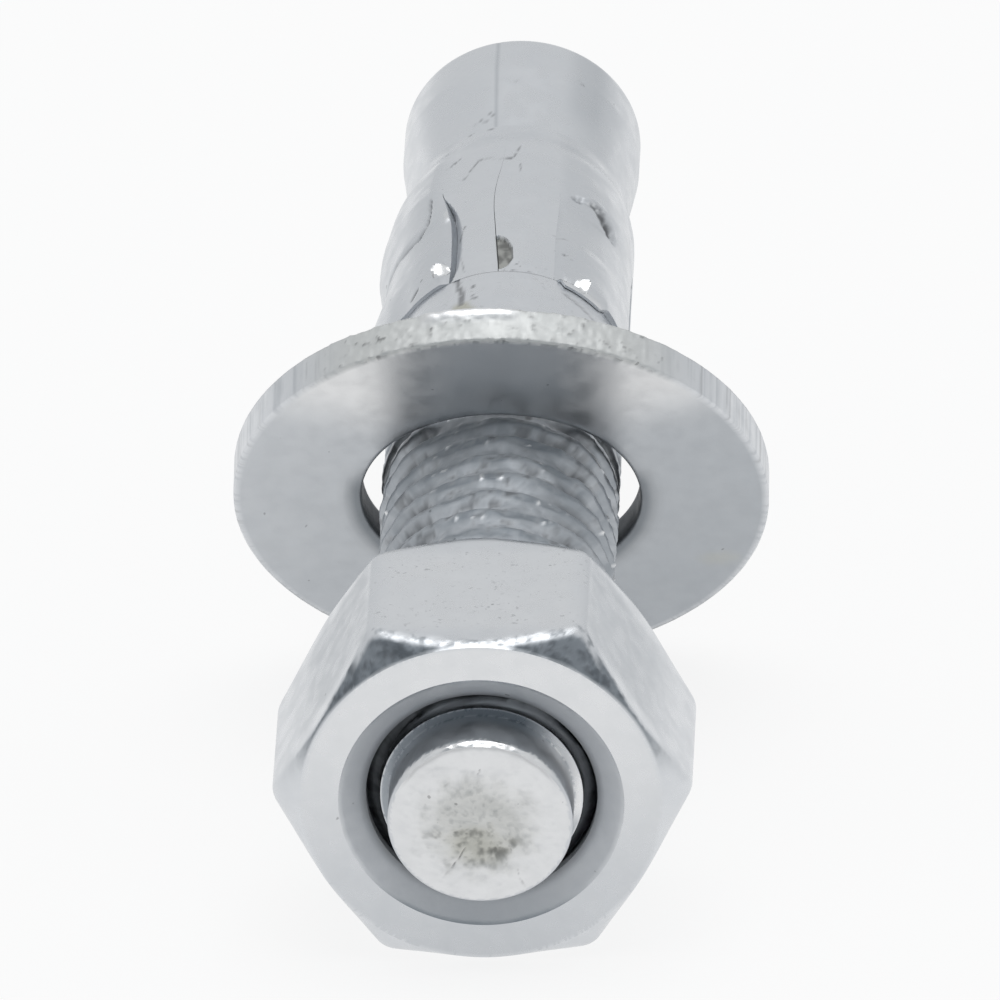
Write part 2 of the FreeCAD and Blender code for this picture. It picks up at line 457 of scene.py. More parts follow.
def plating(name, colours, roughness=0.3):
    """Zinc over steel: clouds, fine mottling, pits and the marks that the mesh carries, painted
    shade and painted highlights among them.
    """
    material = bpy.data.materials.new(name)
    nodes = Nodes(material)
    mottle = 0.12
    clouds = nodes.between(nodes.noise(3.2 * MM, 2.0), 0.3, 0.7)
    fine = nodes.between(nodes.noise(0.45 * MM, 4.0, 0.6), 0.3, 0.7)
    blend = nodes.maths("ADD", nodes.times(clouds, mottle), nodes.times(fine, mottle * 0.6))
    base = nodes.mix(blend, colours.zinc, colours.pale)
    for mark in ("pale", "slate", "grime"):
        base = nodes.mix(nodes.mark(mark), base, getattr(colours, mark))
    pits = nodes.times(nodes.between(nodes.noise(0.3 * MM, 2.0, 0.5), 0.61, 0.71),
                       nodes.mark("pitted"))
    patchy = nodes.between(nodes.noise(1.6 * MM, 1.0), 0.45, 0.65, 0.1, 0.55)
    few = nodes.times(nodes.between(nodes.noise(0.5 * MM, 1.0, 0.4), 0.79, 0.83), 0.4)
    dirt = nodes.most(nodes.mark("soot"), nodes.times(pits, patchy), few)
    worn = nodes.between(nodes.noise(1.1 * MM, 3.0), 0.25, 0.75, roughness - 0.07, roughness + 0.07)
    grainy = nodes.bump(nodes.noise(0.12 * MM, 3.0), 0.008 * MM, 0.25)
    sunk = nodes.bump(nodes.times(pits, -1.0), 0.04 * MM, 0.3, Normal=grainy)
    nodes.set(nodes.tree.nodes["Principled BSDF"], metallic=1.0,
              base_color=nodes.mix(dirt, base, colours.soot),
              roughness=nodes.maths("ADD", worn, nodes.times(nodes.mark("matt"), 0.42)),
              normal=nodes.bump(nodes.noise(0.9 * MM, 2.0), 0.008 * MM, 0.3, Normal=sunk))
    return material


MARKS = ("pale", "slate", "grime", "soot", "matt", "pitted")


def marked(shape, **marks):
    """All marks for a grid of points, limited from 0 to 1, and 0 where nothing is said."""
    return {name: np.clip(marks.get(name, 0.0) + np.zeros(shape), 0, 1) for name in MARKS}


def joined(parts):
    """The marks of several grids, one after the other."""
    return {name: np.concatenate([part[name].ravel() for part in parts]) for name in MARKS}


# Stud

THREAD_SECTION = (
    # share of a pitch, height from root to crest
    (0.00, 1.00), (0.09, 1.00), (0.135, 0.96), (0.20, 0.76), (0.30, 0.42), (0.40, 0.12),
    (0.455, 0.01), (0.53, 0.00), (0.575, 0.05), (0.66, 0.34), (0.77, 0.70), (0.86, 0.95),
    (0.91, 1.00),
)


def thread_grid(sizes):
    """Rows that follow the helix, clamped to the thread's start and end, and their marks."""
    crest = sizes.crest_diameter / 2
    root = sizes.root_diameter / 2
    start = sizes.thread_start
    stop = start + sizes.thread_length
    turns = ceil(sizes.thread_length / sizes.pitch) + 2
    shares = np.concatenate([[k + share for share, _ in THREAD_SECTION] for k in range(turns)])
    heights = np.tile([height for _, height in THREAD_SECTION], turns)[:, None]
    angle = np.linspace(0, TURN, STUD_COLUMNS + 1)
    along = start + (shares[:, None] - 1 + angle / TURN) * sizes.pitch
    along = np.clip(along, start, stop)
    angle = angle + 0 * along
    shank = ease(along, stop - sizes.run_out, stop)
    points = turn(crest, along, angle)
    blotches = rough(points, 1.9 * MM, 11)
    crumbs = rough(points, 0.42 * MM, 12, 2)
    # Glints: small raised spots that also get pale zinc, a painted highlight.
    glint_noise = ease(wander(points, 0.28 * MM, 13), 0.66, 0.82) * ease(blotches, -0.3, 0.2)
    bright = glint_noise * ease(heights, 0.3, 0.8)
    free = ease(along, start, start + 1.2 * MM) * (1 - shank)
    facing = near_top(angle, 26, 60)
    filled = free * facing * (0.5 + 0.4 * ease(blotches, -0.5, 0.5))
    raised = root + (crest - root) * heights
    raised = raised + (crest - 0.3 * MM - raised) * filled
    radius = raised + (crest - raised) * shank
    worn = ease(blotches, -0.3, 0.7) * heights
    radius = radius + (0.09 * crumbs - 0.16 * worn + 0.09 * bright) * MM * free
    radius = np.minimum(radius, root + np.maximum(along - start - sizes.start_gap, 0))
    first = fade(along, start + 1.5 * MM, start + 4 * MM)
    pale = free * (1 - first) * bright
    # Painted shade: the crests near the top and the whole sides are darker, and the grooves at the
    # sides get dark marks; the blotchy part is random tone.
    slate = free * (0.2 + 0.35 * ease(crumbs + blotches, -0.6, 0.6)
                    + 0.3 * facing * ease(heights, 0.55, 0.95) + 0.2 * (1 - facing))
    soot = free * (0.85 * fade(heights, 0.1, 0.65) * (1 - facing)
                   + 0.45 * ease(-crumbs - 0.6 * blotches, 0.1, 0.6))
    # Painted shade of the nut over the first turns.
    soot = soot + 0.15 * first * ease(along, start, start + 0.25 * MM)
    marks = marked(radius.shape, slate=slate * (1 - pale), soot=soot * (1 - pale), pale=pale,
                   pitted=0.1 * free, matt=free * (0.35 + 0.65 * facing) * (1 - pale))
    return (radius, along, angle), marks


# Cracks and nicks in the dog point's face, from its middle, in mm: how much fainter, (x, z)...
TIP_CRACKS = (
    (0, (-0.75, -1.45), (-1.0, -1.9), (-1.75, -2.9), (-2.23, -3.8)),
    (0.02, (1.74, -2.67), (1.8, -3.1), (2.09, -3.68)),
    (0, (-1.75, 2.1), (-1.4, 2.35)),
    (0, (0.0, 2.75), (0.1, 3.0)),
    (0, (1.45, -1.5), (1.45, -1.8)),
    (0.02, (-2.6, 1.1), (-2.75, 0.8)),
)


def tip_grid(sizes):
    """The dog point: its hammered face with cracks, and the burr over the top of its edge."""
    dog = sizes.dog_diameter / 2
    root = sizes.root_diameter / 2
    start = sizes.thread_start
    angle = np.linspace(0, TURN, STUD_COLUMNS + 1)[None, :]
    upper = near_top(angle, 48, 66)
    ragged = 0.5 + 0.5 * wander(turn(dog, 0, angle), 0.55 * MM, 21)
    deep = sizes.dog_bevel + (sizes.burr * (0.75 + 0.5 * ragged) - sizes.dog_bevel) * upper
    broad = sizes.dog_bevel * (1 + 0.5 * upper * ragged)
    radius = (dog - broad) * np.linspace(0, 1, 46)[:, None]
    x, z = radius * np.sin(angle) / MM, radius * np.cos(angle) / MM
    flat = np.stack([x, 0 * x, z], -1)
    crumbs = rough(flat, 0.55, 22)
    fine = rough(flat, 0.2, 23, 2)
    hammered = fade(from_spot(x, z, -0.1, -0.2, 3.0, 2.9) + 0.2 * crumbs, 0.5, 1.2)
    dent = fade(from_spot(x, z, -0.3, -1.35, 2.1, 1.35) + 0.3 * crumbs, 0.3, 1.1)
    lines = fade(from_lines(from_line, x, z, TIP_CRACKS) + 0.02 * fine, 0.0, 0.045)
    inside = ease(dog / MM - np.hypot(x, z), 0.1, 0.8)
    # A groove under the burr, with painted shade in it.
    under_burr = fade(np.abs((dog - broad - radius) / MM - 0.05), 0.0, 0.09) * upper
    sunk = (0.045 + 0.035 * hammered) * crumbs + 0.035 * fine + 0.06 * lines
    sunk = sunk + dent * (0.14 - 0.17 * crumbs - 0.08 * fine)
    sunk = sunk * inside + 0.07 * under_burr
    near = from_spot(x, z, -0.6, -1.35, 2.7, 1.3)
    pits = fade(near, 0.5, 1.15) * ease(-crumbs - 0.5 * fine + 0.25 * (1 - near), -0.05, 0.75)
    face_marks = marked(radius.shape, grime=0.22 * hammered + 0.3 * dent, pale=0.8,
                        soot=largest(0.42 * lines, 0.5 * pits, 0.4 * under_burr),
                        slate=0.25 * ease(-fine - 0.5 * crumbs, 0.0, 0.5) * hammered,
                        matt=0.4 + 0.5 * hammered, pitted=0.05 + 0.3 * dent)
    steps = np.linspace(0, 1, 6)[:, None]
    uneven = 0.06 * MM * wander(turn(dog + 0 * steps, deep * steps * 2, angle), 0.24 * MM, 24)
    edge = dog - broad * (1 - steps) ** 1.6 + uneven * upper * steps * (1 - steps) * 4
    side = TIP + deep + (start - TIP - deep) * np.linspace(0, 1, 12)[:, None]
    step = lathe(outline((dog, start, 4), (root, start, 0)))
    # Painted light and shade: the dog's side and the step are darkened, with a lit crescent on the
    # right.
    lit = fade(np.abs(angle - radians(75)), radians(20), radians(50))
    grids = [(radius, TIP + sunk * MM, angle + 0 * radius),
             (edge, TIP + deep * steps, angle + 0 * steps),
             (dog + 0 * side, side, angle + 0 * side), step]
    marks = [face_marks,
             marked(edge.shape, pale=upper, matt=0.5 * ease(np.abs(wrapped(angle)), 0.25, 0.6)),
             marked(side.shape, slate=0.5 - 0.3 * lit, matt=0.3),
             marked(step[0].shape, slate=0.8 * (1 - lit), pale=lit)]
    return grids, marks


# Scratches on the cone, in mm along the axis and degrees: how much fainter, (along, degrees)...
CONE_SCRATCHES = (
    (0, (57.3, -21), (57.45, -18), (57.2, -14.5)),
    (0, (57.9, -13), (57.6, -11)),
    (0.04, (60.2, -1), (60.5, 2)),
    (0.02, (61.6, 32), (61.3, 34)),
)


def dressed_shank(radius, along, angle):
    """The smooth shank, the neck and the cone with the dirt, the scratches and the painted shade
    they carry.
    """
    u, v = unrolled(along, angle)
    points = turn(radius, along, angle)
    crumbs = rough(points, 0.5 * MM, 31)
    fine = rough(points, 0.22 * MM, 32, 2)
    shank = fade(u, 41.25, 41.4)
    pocket = fade(from_spot(u, v, *at(40.75, 43), 0.5, 1.6) + 0.2 * crumbs, 0.55, 1.05)
    furrow = line_at(u, v, (40.35, 31), (39.9, 44), (39.4, 55))
    furrow = fade(furrow + 0.05 * crumbs, 0.03, 0.16)
    grime = fade(from_spot(u, v, *at(38.2, -20), 0.9, 0.8) + 0.4 * crumbs, 0.4, 1.0)
    streak = line_at(u, v, (41.3, -24), (39.6, -20.5), (38.7, -20.5))
    streak = fade(streak + 0.12 * fine, 0.05, 0.2)
    dots = ease(fine, 0.3, 0.55) * fade(from_spot(u, v, *at(39.7, -12), 1.5, 1.3), 0.5, 1.0)
    line = fade(line_at(u, v, (56.0, -10.2), (64.4, -10.0)), 0.02, 0.1)
    scratch = fade(from_lines(line_at, u, v, CONE_SCRATCHES) + 0.03 * fine, 0.01, 0.1)
    sunk = shank * (0.02 * pocket + 0.05 * furrow + 0.05 * streak)
    sunk = sunk + 0.012 * line + 0.02 * scratch
    soot = largest(0.3 * furrow, 0.6 * streak, 0.6 * dots) * shank
    # Painted shade: a darker band and the right side of the cone.
    band = ease(u, 57, 60) * fade(np.abs(v - 3.9), 0.4, 1.6)
    right = ease(v, 2.5, 5.0) * ease(u, 55, 57)
    marks = marked(u.shape, soot=np.maximum(soot, 0.4 * scratch), grime=shank * 0.8 * grime,
                   matt=shank * pocket, slate=0.3 * line + 0.16 * band + 0.14 * right,
                   pitted=0.25 * shank)
    return (radius - sunk * MM, along, angle), marks


def make_stud(sizes, colours):
    crest = sizes.crest_diameter / 2
    neck = sizes.neck_diameter / 2
    cone = sizes.cone_diameter / 2
    cone_middle = 55 * MM
    grids, marks = tip_grid(sizes)
    thread, thread_marks = thread_grid(sizes)
    thread_end = sizes.thread_start + sizes.thread_length
    round_end = [(cone - sizes.end_radius * (1 - cos(step)),
                  STUD_END - sizes.end_radius * (1 - sin(step)), 1)
                 for step in np.linspace(0, pi / 2, 9)[1:]]
    rear, rear_marks = dressed_shank(*lathe(outline(
        (crest, thread_end, 14),
        (crest, thread_end + 3.0 * MM, 26),
        (crest, sizes.shoulder - sizes.shoulder_bevel, 3),
        (crest - sizes.shoulder_bevel, sizes.shoulder, 3),
        (neck + sizes.neck_bevel, sizes.shoulder, 2),
        (neck, sizes.shoulder + sizes.neck_bevel, 4),
        (neck, sizes.cone_start, 14),
        (cone_radius(sizes, cone_middle), cone_middle, 32),
        (cone, sizes.land_start, 16),
        (cone, STUD_END - sizes.end_radius, 2),
        *round_end,
        (0, STUD_END, 0))))
    shapes = [turn(*grid) for grid in (*grids, thread, rear)]
    piece = skin("plated_stud", shapes, joined([*marks, thread_marks, rear_marks]))
    fit_out(piece, "anchor_body", plating("stud_plating", colours))


# Nut

COUNTERSINK = radians(60)       # half of its angle
BEVEL_SLOPE = radians(30)       # of the corner bevels
STEEPER = radians(13)           # how much more the upper bevels slope


def hexagon_reach(angle, half, rounding):
    """Distance to a hexagon with rounded corners, one flat straight up."""
    step = TURN / 6
    from_corner = (angle % step) - step / 2
    centre = (half - rounding) / cos(step / 2)
    inside = rounding ** 2 - (centre * np.sin(from_corner)) ** 2
    curved = centre * np.cos(from_corner) + np.sqrt(np.maximum(inside, 0))
    flat = half / np.cos(step / 2 - np.abs(from_corner))
    touches = np.abs(centre * np.sin(np.abs(from_corner))) < rounding * sin(step / 2) * 1.0001
    return np.where(touches, np.minimum(curved, flat), flat)


def rounded_bevel(reach, face, height, rounding, slope):
    """Rows from the front face's circle over the bevel, its rounded edge and the flat to the
    middle; the reach and the bevel's slope may differ from column to column.
    """
    spare = reach - face - rounding * (1 - np.sin(slope))
    straight = np.maximum(spare, 0)
    begin = np.where(spare > 0, slope, np.arcsin(1 - (reach - face) / rounding))
    radii, places = [], []
    for share in np.linspace(0, 1, 12)[:-1]:
        radii.append(face + straight * share)
        places.append(straight * share * np.tan(slope))
    for share in np.linspace(0, 1, 14):
        turned = begin + share * (pi / 2 - begin)
        radii.append(reach - rounding * (1 - np.sin(turned)))
        places.append(straight * np.tan(slope) + rounding * (np.cos(begin) - np.cos(turned)))
    behind = places[-1]
    for share in np.linspace(0, 1, 10)[1:]:
        radii.append(reach)
        places.append(behind * (1 - share) + height / 2 * share)
    return np.array(radii), np.array(places)


def make_nut(sizes, colours):
    half = sizes.across_flats / 2
    face = half - sizes.face_inset
    bore = sizes.bore_diameter / 2
    mouth = bore + sizes.mouth_width
    lip = sizes.lip_diameter / 2
    sink = sizes.mouth_width / tan(COUNTERSINK)
    height = NUT_REAR - NUT_FRONT
    inner = lathe(outline(
        (bore, height / 2, 8),
        (bore, sink + 1.1 * MM, 3),
        (lip, sink + 0.75 * MM, 3),
        (lip, sink + 0.25 * MM, 3),
        (bore, sink, 9),
        (mouth, 0, 9),
        (face, 0, 0)), NUT_COLUMNS)
    # Painted light and shade: the face ring and the countersink paler at the top and darker at the
    # bottom, and shade painted down the bore.
    low = ease(-inner[0] * np.cos(inner[2]), -6 * MM, 8 * MM)
    on_face = fade(inner[1], 0.0, 0.15 * MM)
    inner_marks = marked(low.shape, matt=0.8 * (1 - on_face), slate=0.2 * low * on_face,
                         pale=0.5 * (1 - low) * on_face,
                         soot=0.4 * ease(inner[1], sink, sink + 0.3 * MM))
    angle = np.linspace(0, TURN, NUT_COLUMNS + 1)
    reach = hexagon_reach(angle, half, sizes.corner_round)
    slope = BEVEL_SLOPE + STEEPER * near_top(angle, 38, 60)
    radii, places = rounded_bevel(reach, face, height, sizes.edge_round, slope)
    angle = angle + 0 * radii
    points = turn(radii, places, angle)
    crumbs = rough(points, 0.42 * MM, 41)
    fine = rough(points, 0.2 * MM, 42, 2)
    upper = near_top(angle, 58, 84)
    top = near_top(angle, 24, 34)
    inward = reach - radii
    on_bevel = ease(inward, 0.0, 0.05 * MM) * ease(radii - face, 0, 0.12 * MM) * upper
    beside = (1 - near_top(angle, 34, 42)) * ease(inward, 0.01 * MM, 0.08 * MM)
    steep = np.maximum(ease(inward, 0.1 * MM, 0.35 * MM), beside)
    # The upper bevels: rough scale whose darkness is also painted shade.
    scale_and_shade = on_bevel * np.maximum(steep, 0.55 * ease(crumbs + fine, -0.1, 0.6))
    uneven = (0.04 * crumbs + 0.025 * fine + 0.02 * steep * (crumbs + 0.5 * fine)) * on_bevel
    on_flat = ease(places, 1.0 * MM, 2.0 * MM) * upper
    # Painted light on the top flat and painted shade on the flats beside it; the pits are real.
    flats = {"pale": 0.35 * top * on_flat, "pitted": (0.1 + 0.4 * top) * on_flat,
             "slate": 0.36 * (1 - near_top(angle, 30, 34)) * on_flat}
    scale = {"slate": np.maximum(scale_and_shade * (0.85 + 0.15 * ease(crumbs, -0.3, 0.6)), flats["slate"]),
             "soot": 0.35 * scale_and_shade * ease(fine + crumbs, -0.3, 0.7), "matt": scale_and_shade}
    front = (radii + uneven * MM, places, angle)
    rear = (radii[::-1], height - places[::-1], angle)
    back = lathe(outline(
        (face, height, 12),
        (mouth, height, 8),
        (bore, height - sink, 8),
        (bore, height / 2, 0)), NUT_COLUMNS)
    grids = [turn(*grid) for grid in (inner, front, rear, back)]
    marks = joined([inner_marks, marked(radii.shape, **{**flats, **scale}),
                    marked(radii.shape, **{name: mark[::-1] for name, mark in flats.items()}),
                    marked(back[0].shape)])
    piece = skin("plated_nut", grids, marks, 22.0)
    fit_out(piece, "hex_nut", plating("nut_plating", colours))


# Washer

def make_washer(sizes, colours):
    half = sizes.thickness / 2
    rim = sizes.diameter / 2
    hole = sizes.hole_diameter / 2
    edge = sizes.edge
    hole_edge = sizes.hole_edge
    radius, along, angle = lathe(outline(
        (hole, 0, 4),
        (hole, hole_edge - half, 1),
        (hole + 0.1 * hole_edge, 0.5 * hole_edge - half, 1),
        (hole + 0.4 * hole_edge, 0.12 * hole_edge - half, 1),
        (hole + hole_edge, -half, 18),
        (rim - edge, -half, 3),
        (rim, edge - half, 14),
        (rim, half - edge, 3),
        (rim - edge, half, 14),
        (hole + hole_edge, half, 2),
        (hole, half - hole_edge, 4),
        (hole, 0, 0)), WASHER_COLUMNS)
    flat = turn(radius, along, angle)
    crumbs = rough(flat, 0.5 * MM, 51)
    fine = rough(flat, 0.24 * MM, 52, 2)
    streaks = rough(np.stack([angle * rim, along * 0.06, 0 * angle], -1), 0.24 * MM, 53, 3)
    on_rim = ease(radius, rim - 0.3 * MM, rim - 0.05 * MM)
    torn = near_top(angle, 28, 52)
    sheared = 0.04 * crumbs * torn + 0.07 * fine * torn + 0.012 * streaks
    burr = fade(np.abs(np.degrees(wrapped(angle)) + 4.5), 8, 12)
    burr = burr * ease(along, 0.1 * half, 0.75 * half)
    radius = radius + MM * (sheared - 0.03 + burr * (0.17 - 0.06 * fine)) * on_rim
    along = along + 0.05 * MM * crumbs * on_rim * np.sign(along) * torn
    x, z = radius * np.sin(angle) / MM, radius * np.cos(angle) / MM
    dirt = fade(from_spot(x, z, 10.6, -5.2, 1.3, 0.8) + 0.3 * crumbs, 0.3, 1.0)
    # The hole's wall is darkened: painted shade.
    shaded_hole_wall = fade(radius, hole, hole + 0.12 * MM)
    front = (1 - on_rim) * ease(-along, 0.5 * half, 0.8 * half)
    # Painted light over the hole; painted shade round the lower part of the hole and across the
    # face, darker towards the lower right.
    painted_light_over_hole = ease(z - 0.35 * np.abs(x), 2, 7)
    beside = fade(radius, hole + 0.2 * MM, hole + 1.3 * MM) * fade(z, 1, 4)
    beside = beside * ease(-along, 0, 0.5 * half)
    shade = (0.42 + 0.008 * np.clip(x - z, -20, 20)) * front * (1 - painted_light_over_hole)
    burnt = burr * on_rim
    scale = on_rim * torn * (1 - burnt)
    soot = on_rim * (0.6 * torn * ease(fine + 0.4 * crumbs, 0.3, 0.8)
                     + 0.25 * (1 - torn) * ease(streaks, 0.3, 0.6))
    dull = 0.3 * on_rim * (1 - torn) * ease(-streaks, 0.0, 0.6)
    marks = marked(radius.shape, pale=np.maximum(0.8 * burnt, painted_light_over_hole * front),
                   soot=largest(soot * (1 - burnt), 0.65 * shaded_hole_wall, 0.3 * beside),
                   grime=0.25 * np.maximum(dirt, scale), matt=0.65 * scale + 0.4 * shaded_hole_wall,
                   slate=largest(shade, 0.85 * beside, dull))
    flat = turn(radius, along, angle)
    depth, up = flat[..., 1], flat[..., 2]
    lean = sizes.lean
    leant = np.stack([flat[..., 0], WASHER_MIDDLE + depth * cos(lean) - up * sin(lean),
                      depth * sin(lean) + up * cos(lean)], -1)
    piece = skin("plated_washer", [leant], marks)
    fit_out(piece, "washer", plating("washer_plating", colours, 0.36))


# Clip

STRIP = 15.15           # mm, the clip's width along the axis
REAR_GAP = 0.008        # mm, between the clip and the shoulder
ROWS = np.concatenate([np.arange(0, 9.4, 0.095), np.arange(9.4, 14.0, 0.2),
                       np.linspace(14.0, STRIP, 9)]) / STRIP

# Borders of the clip's strips round the axis, in degrees from straight up: where the solid has
# them, and where they lie at some places along the axis, in mm, as (place, degrees)
SEAM = -9.0
BORDERS = (
    (SEAM, ((41.5, -2.8), (43.4, -4.2), (46.3, -6.0), (48.0, -7.2), (49.9, -6.6), (51.7, -4.2),
            (53.5, -3.0))),
    (25.5, ((41.5, 24.6), (45.2, 24.0), (50.0, 25.5))),
    *((border, ((0, border),)) for border in (88.5, 145.5, 208.5, 265.5)),
    (328.5, ((41.0, 331.6), (42.6, 333.3), (44.8, 333.8), (47.3, 332.6), (48.8, 329.8),
             (50.2, 326.3))),
)
SOLID_BORDERS = [solid for solid, _ in BORDERS] + [SEAM + 360]
BORDER_BLUR = (-0.8, -0.4, 0, 0.4, 0.8)     # mm, the shifts over which the borders are smoothed
SHORT_SLIT = 1                  # the border beside the right tongue
SHORT_SLIT_END = 45.3           # mm, where its slit ends
CREVICE = len(BORDERS) - 1      # the border beside the left tongue, with a valley along it
CREVICE_WIDTH = ((41.1, 0.0), (42.4, 0.42), (44.0, 0.5), (46.2, 0.46), (48.2, 0.26), (50.2, 0.0))

# Height of the three tongues over the clip's round surface, along the axis, all in mm
RIGHT_TONGUE = ((41.4, 0.26), (42.4, 0.24), (45.2, 0.14), (45.6, 0.02), (49.0, -0.06), (50.0, 0.34),
                (51.6, 0.3), (53.0, 0.14), (55.6, 0.0))
PLAIN_TONGUE = ((41.4, 0.12), (45.0, 0.30), (48.6, 0.34), (49.4, 0.6), (50.8, 0.66), (53.0, 0.36),
                (55.6, 0.0))
LEFT_TONGUE = ((41.4, 0.12), (44.0, 0.34), (46.7, 0.42), (47.2, 0.56), (50.4, 0.6), (53.0, 0.34),
               (55.6, 0.0))
LEFT_FLARE = ((41.4, 1.15), (43.9, 0.98), (45.6, 0.6), (46.8, 0.36), (48.0, 0.6), (49.6, 0.78),
              (51.2, 0.72), (53.1, 0.42), (55.1, 0.16), (57.0, 0.0))


def cone_radius(sizes, along):
    """Radius of the neck or the cone at a place along the axis."""
    share = (along - sizes.cone_start) / (sizes.land_start - sizes.cone_start)
    neck, cone = sizes.neck_diameter / 2, sizes.cone_diameter / 2
    return neck + (cone - neck) * np.clip(share, 0, 1)


def tongue_height(along, degrees):
    """Height of the tongues over the round surface, in mm, at the solid's angles."""
    right = tapered(along, RIGHT_TONGUE, 0.25) * fade(degrees, 50, 80)
    right = right * (0.3 + 0.7 * ease(degrees, 26, 42)) + 0.04 * fade(np.abs(degrees - 70), 0, 25)
    plain = tapered(along, PLAIN_TONGUE, 0.3)
    flared = fade(degrees, 272, 305)
    left = tapered(along, LEFT_TONGUE, 0.12) * (1 - flared)
    left = left + tapered(along, LEFT_FLARE, 0.3) * flared
    return np.where(degrees < 117, right, np.where(degrees < 237, plain, left))


def on_tongues(degrees):
    """How far each angle stands on a tongue, from 0 on the clip's own surface to 1."""
    return sum(ease(degrees, low - 4, low + 5) * fade(degrees, high - 5, high + 4)
               for low, high in zip(SOLID_BORDERS[1::2], SOLID_BORDERS[2::2]))


def clip_columns():
    """The solid's angles from the seam round to itself, the side of a slit they stand on, if
    any, and the number of that slit's border; two columns stand at every slit.
    """
    angles = np.concatenate([np.arange(-34, 90, 0.8) % 360, np.arange(94, 262, 4.0),
                             np.arange(264, 326, 1.0)])
    angles = np.where(angles < SEAM + 360, angles, angles - 360)
    columns = [(angle, 0, 0) for angle in angles
               if min(abs(angle - border) for border in SOLID_BORDERS) > 0.3]
    columns += [(slit, side, number) for number, slit in enumerate(SOLID_BORDERS[1:-1], 1)
                for side in (-1, 1)]
    columns += [(SEAM, 1, 0), (SEAM + 360, -1, 0)]
    return [np.array(column) for column in zip(*sorted(columns))]


def pressed(u, v, place, size, edge, tilt):
    """A small pressed spot, and how far it rises with its tilt, in mm."""
    u0, v0 = at(*place)
    spot = fade(from_spot(u, v, u0, v0, *size), *edge)
    return spot, spot * (0.1 + tilt[0] * (u - u0) + tilt[1] * (v - v0))


# Lines on the clip, in mm along the axis and degrees: how much fainter, (along, degrees)...
CLIP_SCRATCHES = (
    (0, (51.2, -23), (52.6, -16), (52.5, -8), (52.4, 1), (53.6, 4)),
    (0, (52.9, -33), (53.4, -26)),
    (0.02, (51.2, 5), (51.9, 4.6)),
    (0, (56.4, -25), (56.6, -22)),
    (0, (56.4, -14), (56.5, -11)),
    (0, (46.3, -21), (45.0, -24)),
    (0.03, (43.3, -22), (41.8, -20)),
)
FOLD = ((49.6, -37.6), (48.4, -37.2), (47.3, -38.6), (46.8, -45), (46.9, -62), (46.9, -75),
        (46.8, -92))
TORN_CREASE = ((49.7, 33), (49.9, 43), (49.4, 51.5), (48.9, 58.5))
RIDGE = ((50.1, 39), (50.2, 44), (49.8, 52), (49.4, 58))


def clip_marks(u, v, crumbs, fine, tongue):
    """Dents, creases and raised spots of the clip, with painted light and shade: how far they sink
    and the marks they leave.
    """
    fold = fade(line_at(u, v, *FOLD) + 0.05 * crumbs, 0.0, 0.12)
    torn = fade(line_at(u, v, *TORN_CREASE) + 0.16 * crumbs + 0.12 * fine, 0.0, 0.34)
    ridge = fade(line_at(u, v, *RIDGE), 0.05, 0.3)
    notch_wide = 0.8 * np.sqrt(np.clip(1 - ((u - 43.15) / 1.6) ** 2, 0, 1))
    beside = v - np.interp(u, (41.5, 44.8), (at(0, -3.0)[1], at(0, -5.4)[1]))
    notch = ease(beside, -0.02, 0.08) * fade(beside - notch_wide + 0.05 * crumbs, -0.06, 0.05)
    notch = notch * ease(notch_wide, 0.05, 0.2)
    nib, nib_rise = pressed(u, v, (42.5, -31.5), (0.48, 0.46), (0.8, 1.0), (0.35, -0.65))
    square, square_rise = pressed(u, v, (41.85, 38.5), (0.36, 0.44), (0.75, 1.0), (0.4, 0.72))
    facet = fade(from_spot(u, v, *at(47.4, -28.8), 0.6, 0.16), 0.5, 1.0)
    lip = fade(u, 41.4, 42.2) * across(v, 27, 30, 50, 55)
    specks = ease(fine, 0.25, 0.5) * np.maximum(
        fade(from_spot(u, v, *at(43.9, 29), 0.55, 0.7), 0.4, 1.0),
        fade(from_spot(u, v, *at(41.9, 4), 0.8, 2.1), 0.5, 1.0))
    scratch = from_lines(line_at, u, v, CLIP_SCRATCHES) + 0.05 * crumbs + 0.05 * fine
    scratch = fade(scratch, 0.0, 0.11) * ease(fine + 0.3 * crumbs, -0.3, 0.15)
    patch_edge = fade(line_at(u, v, (45.4, 20), (45.5, 30)) + 0.05 * crumbs, 0.0, 0.12)
    dash = fade(line_at(u, v, (41.9, -50), (42.3, -46)), 0.03, 0.14)
    sunk = (0.13 * fold + torn * (0.12 + 0.08 * crumbs) + 0.24 * notch + 0.02 * scratch
            + 0.05 * dash - nib_rise - 0.05 * facet - square_rise - 0.02 * ridge
            + 0.012 * crumbs + 0.01 * patch_edge + 0.3 * lip)
    # Painted shade in the fold, the torn crease and the notch, besides the real specks and
    # scratches.
    soot = largest(0.45 * fold, 0.75 * torn * ease(-fine - crumbs, -0.5, 0.4),
                   notch * (0.35 + 0.35 * ease(-crumbs - 0.5 * fine, -0.2, 0.5)),
                   0.6 * specks, 0.65 * scratch, 0.6 * dash,
                   0.5 * patch_edge * ease(fine, -0.3, 0.4))
    # Painted highlights on the nib, the square, the facet, the lip and the ridge.
    pale = largest(nib, torn * ease(fine, 0.15, 0.45), 0.5 * facet, square, 0.7 * lip,
                   0.3 * ridge * ease(fine, 0.1, 0.5))
    # The tongues get a little painted shade.
    return sunk, marked(u.shape, soot=soot, pale=pale, grime=0.45 * notch, slate=0.12 * tongue,
                        matt=0.6 * torn + 0.5 * notch, pitted=0.04)


def border_angles(along):
    """Where the borders stand at a place along the axis, in degrees from straight up."""
    moved = [np.mean([np.interp(along + shift, *zip(*places)) for shift in BORDER_BLUR])
             for _, places in BORDERS]
    return [*moved, moved[0] + 360]


